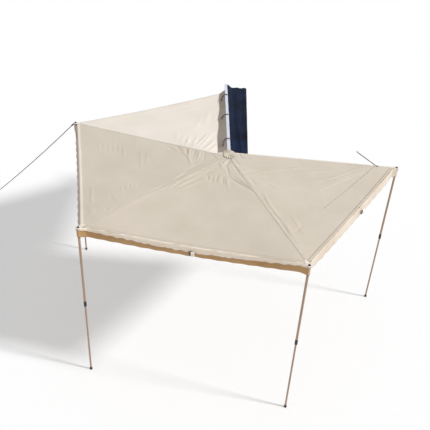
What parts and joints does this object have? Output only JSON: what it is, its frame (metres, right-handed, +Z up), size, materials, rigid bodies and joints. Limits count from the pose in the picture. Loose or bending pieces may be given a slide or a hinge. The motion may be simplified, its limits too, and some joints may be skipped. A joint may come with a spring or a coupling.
{
  "type": "vehicle side awning",
  "caption": "Fan-shaped vehicle side awning, open: folding arms on one pin at a roof-rack rail carry a cream canopy, with telescopic legs, a rolled-back cover and ropes.",
  "frame": {"origin": "middle of the rear rack bracket's lower face, where the awning is bolted down on the roof rack", "axes": "+Z up, +Y along the rail towards the vehicle's front, +X towards the vehicle; the ground is at z -1.972"},
  "size_m": [5.7074, 4.1062, 2.0518],
  "materials": {
    "silver": "anodised satin",
    "black": "moulded, fine grain",
    "steel": "zinc plated",
    "bronze": "bronze anodised",
    "cloth": "coated ripstop, matt",
    "hem": "coated cloth, translucent",
    "cover": "coated heavy cloth, slight sheen",
    "rope": "braided",
    "cord_black": "elastic cord with plastic toggle",
    "rubber": "matt"
  },
  "bodies": {
    "rail": {"mount_rail": "silver", "rail_end_cap": "black", "hub_bracket": "black", "hub_pin": "steel", "rack_bracket_rear": "black", "rack_bracket_front": "black", "bracket_bolt_rear": "steel", "bracket_bolt_front": "steel", "tie_loop_1": "cord_black", "tie_loop_2": "cord_black", "tie_loop_3": "cord_black"},
    "cover": {"cover_flap": "cover"},
    "arm_1": {"arm_knuckle_1": "black", "arm_tube_1": "silver", "arm_tip_1": "black", "leg_pin_1": "steel", "canopy_panel_1": "cloth", "guy_rope": "rope", "guy_runner": "black", "guy_end_loop": "rope"},
    "leg_1": {"leg_head_1": "black", "leg_upper_1": "bronze"},
    "collar_1": {"leg_collar_1": "black"},
    "lower_1": {"leg_lower_1": "bronze", "leg_foot_1": "rubber"},
    "arm_2": {"arm_knuckle_2": "black", "arm_tube_2": "silver", "arm_tip_2": "black", "leg_pin_2": "steel", "canopy_panel_2": "cloth", "valance_2": "hem"},
    "leg_2": {"leg_head_2": "black", "leg_upper_2": "bronze"},
    "collar_2": {"leg_collar_2": "black"},
    "lower_2": {"leg_lower_2": "bronze", "leg_foot_2": "rubber"},
    "arm_3": {"arm_knuckle_3": "black", "arm_tube_3": "silver", "arm_tip_3": "black", "leg_pin_3": "steel", "canopy_panel_3": "cloth", "valance_3": "hem"},
    "leg_3": {"leg_head_3": "black", "leg_upper_3": "bronze"},
    "collar_3": {"leg_collar_3": "black"},
    "lower_3": {"leg_lower_3": "bronze", "leg_foot_3": "rubber"},
    "arm_4": {"arm_knuckle_4": "black", "arm_tube_4": "silver", "arm_tip_4": "black", "leg_pin_4": "steel", "canopy_panel_4": "cloth", "valance_4": "hem", "tie_rope": "rope", "tie_hook": "steel"},
    "leg_4": {"leg_head_4": "black", "leg_upper_4": "bronze"},
    "collar_4": {"leg_collar_4": "black"},
    "lower_4": {"leg_lower_4": "bronze", "leg_foot_4": "rubber"}
  },
  "joints": [
    {"name": "arm_1_swing", "type": "hinge", "parent": "rail", "child": "arm_1", "pos_m": [-0.1213, -0.61, 0.028], "axis": [0, 0, 1], "range_deg": [-66, 0], "deforming": ["canopy_panel_1", "tie_loop_1", "tie_loop_2", "tie_loop_3"]},
    {"name": "arm_2_swing", "type": "hinge", "parent": "arm_1", "child": "arm_2", "pos_m": [-0.1213, -0.61, 0.028], "axis": [0, 0, 1], "range_deg": [-66, 0], "deforming": ["canopy_panel_2", "valance_2"]},
    {"name": "arm_3_swing", "type": "hinge", "parent": "arm_2", "child": "arm_3", "pos_m": [-0.1213, -0.61, 0.028], "axis": [0, 0, 1], "range_deg": [-66, 0], "deforming": ["canopy_panel_3", "valance_3"]},
    {"name": "arm_4_swing", "type": "hinge", "parent": "arm_3", "child": "arm_4", "pos_m": [-0.1213, -0.61, 0.028], "axis": [0, 0, 1], "range_deg": [-66, 0], "deforming": ["canopy_panel_4", "valance_4"]},
    {"name": "leg_1_fold", "type": "hinge", "parent": "arm_1", "child": "leg_1", "pos_m": [-1.98575, 0.19296, -0.024], "axis": [0.3955, 0.9184, 0], "range_deg": [-90, 0]},
    {"name": "leg_2_fold", "type": "hinge", "parent": "arm_2", "child": "leg_2", "pos_m": [-1.57289, -2.02949, -0.024], "axis": [-0.6871, 0.7266, 0], "range_deg": [-90, 0]},
    {"name": "leg_3_fold", "type": "hinge", "parent": "arm_3", "child": "leg_3", "pos_m": [0.64019, -2.49299, -0.024], "axis": [-0.9391, -0.3437, 0], "range_deg": [-90, 0]},
    {"name": "leg_4_fold", "type": "hinge", "parent": "arm_4", "child": "leg_4", "pos_m": [1.91123, -0.62148, -0.024], "axis": [-0.0558, -0.9984, 0], "range_deg": [-90, 0]},
    {"name": "leg_1_slide", "type": "slide", "parent": "leg_1", "child": "lower_1", "axis": [0, 0, -1], "range_m": [-0.72, 0]},
    {"name": "leg_2_slide", "type": "slide", "parent": "leg_2", "child": "lower_2", "axis": [0, 0, -1], "range_m": [-0.72, 0]},
    {"name": "leg_3_slide", "type": "slide", "parent": "leg_3", "child": "lower_3", "axis": [0, 0, -1], "range_m": [-0.72, 0]},
    {"name": "leg_4_slide", "type": "slide", "parent": "leg_4", "child": "lower_4", "axis": [0, 0, -1], "range_m": [-0.72, 0]},
    {"name": "collar_1_twist", "type": "hinge", "parent": "leg_1", "child": "collar_1", "pos_m": [-1.98575, 0.19296, -0.953], "axis": [0, 0, 1], "range_deg": [0, 90]},
    {"name": "collar_2_twist", "type": "hinge", "parent": "leg_2", "child": "collar_2", "pos_m": [-1.57289, -2.02949, -0.953], "axis": [0, 0, 1], "range_deg": [0, 90]},
    {"name": "collar_3_twist", "type": "hinge", "parent": "leg_3", "child": "collar_3", "pos_m": [0.64019, -2.49299, -0.953], "axis": [0, 0, 1], "range_deg": [0, 90]},
    {"name": "collar_4_twist", "type": "hinge", "parent": "leg_4", "child": "collar_4", "pos_m": [1.91123, -0.62148, -0.953], "axis": [0, 0, 1], "range_deg": [0, 90]},
    {"name": "cover_hinge", "type": "hinge", "parent": "rail", "child": "cover", "pos_m": [-0.039, 0, 0.0563], "axis": [0, 1, 0], "range_deg": [-95, 0]}
  ],
  "couplings": [
    {"joint": "arm_2_swing", "follows": "arm_1_swing", "ratio": 1},
    {"joint": "arm_3_swing", "follows": "arm_1_swing", "ratio": 1},
    {"joint": "arm_4_swing", "follows": "arm_1_swing", "ratio": 1}
  ]
}
